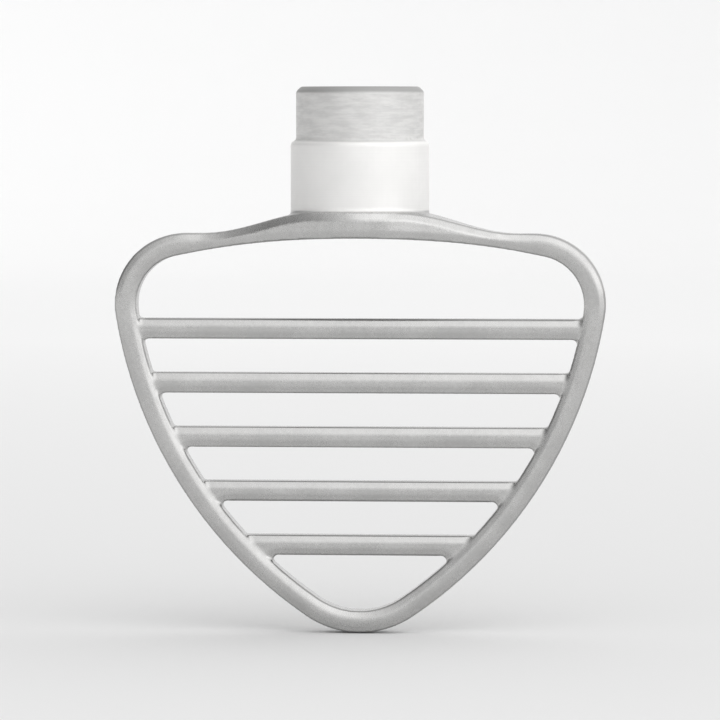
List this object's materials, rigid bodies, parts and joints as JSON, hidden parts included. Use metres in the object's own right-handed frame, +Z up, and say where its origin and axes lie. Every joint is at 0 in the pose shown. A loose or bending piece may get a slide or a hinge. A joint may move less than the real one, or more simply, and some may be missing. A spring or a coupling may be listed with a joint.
{
  "type": "pastry beater",
  "caption": "Flat pastry beater for a stand mixer: a bored hub with a bayonet slot on a shield-shaped frame crossed by level cutting bars.",
  "frame": {"origin": "on the bore's axis, where it opens in the hub's top face", "axes": "+Z up along the mixer shaft, X across the frame, the front facing -Y"},
  "size_m": [0.1362, 0.0424, 0.1516],
  "materials": {
    "cast_steel": "satin, with a polished barrel"
  },
  "bodies": {
    "root": {"pastry_beater": "cast_steel"}
  },
  "joints": []
}
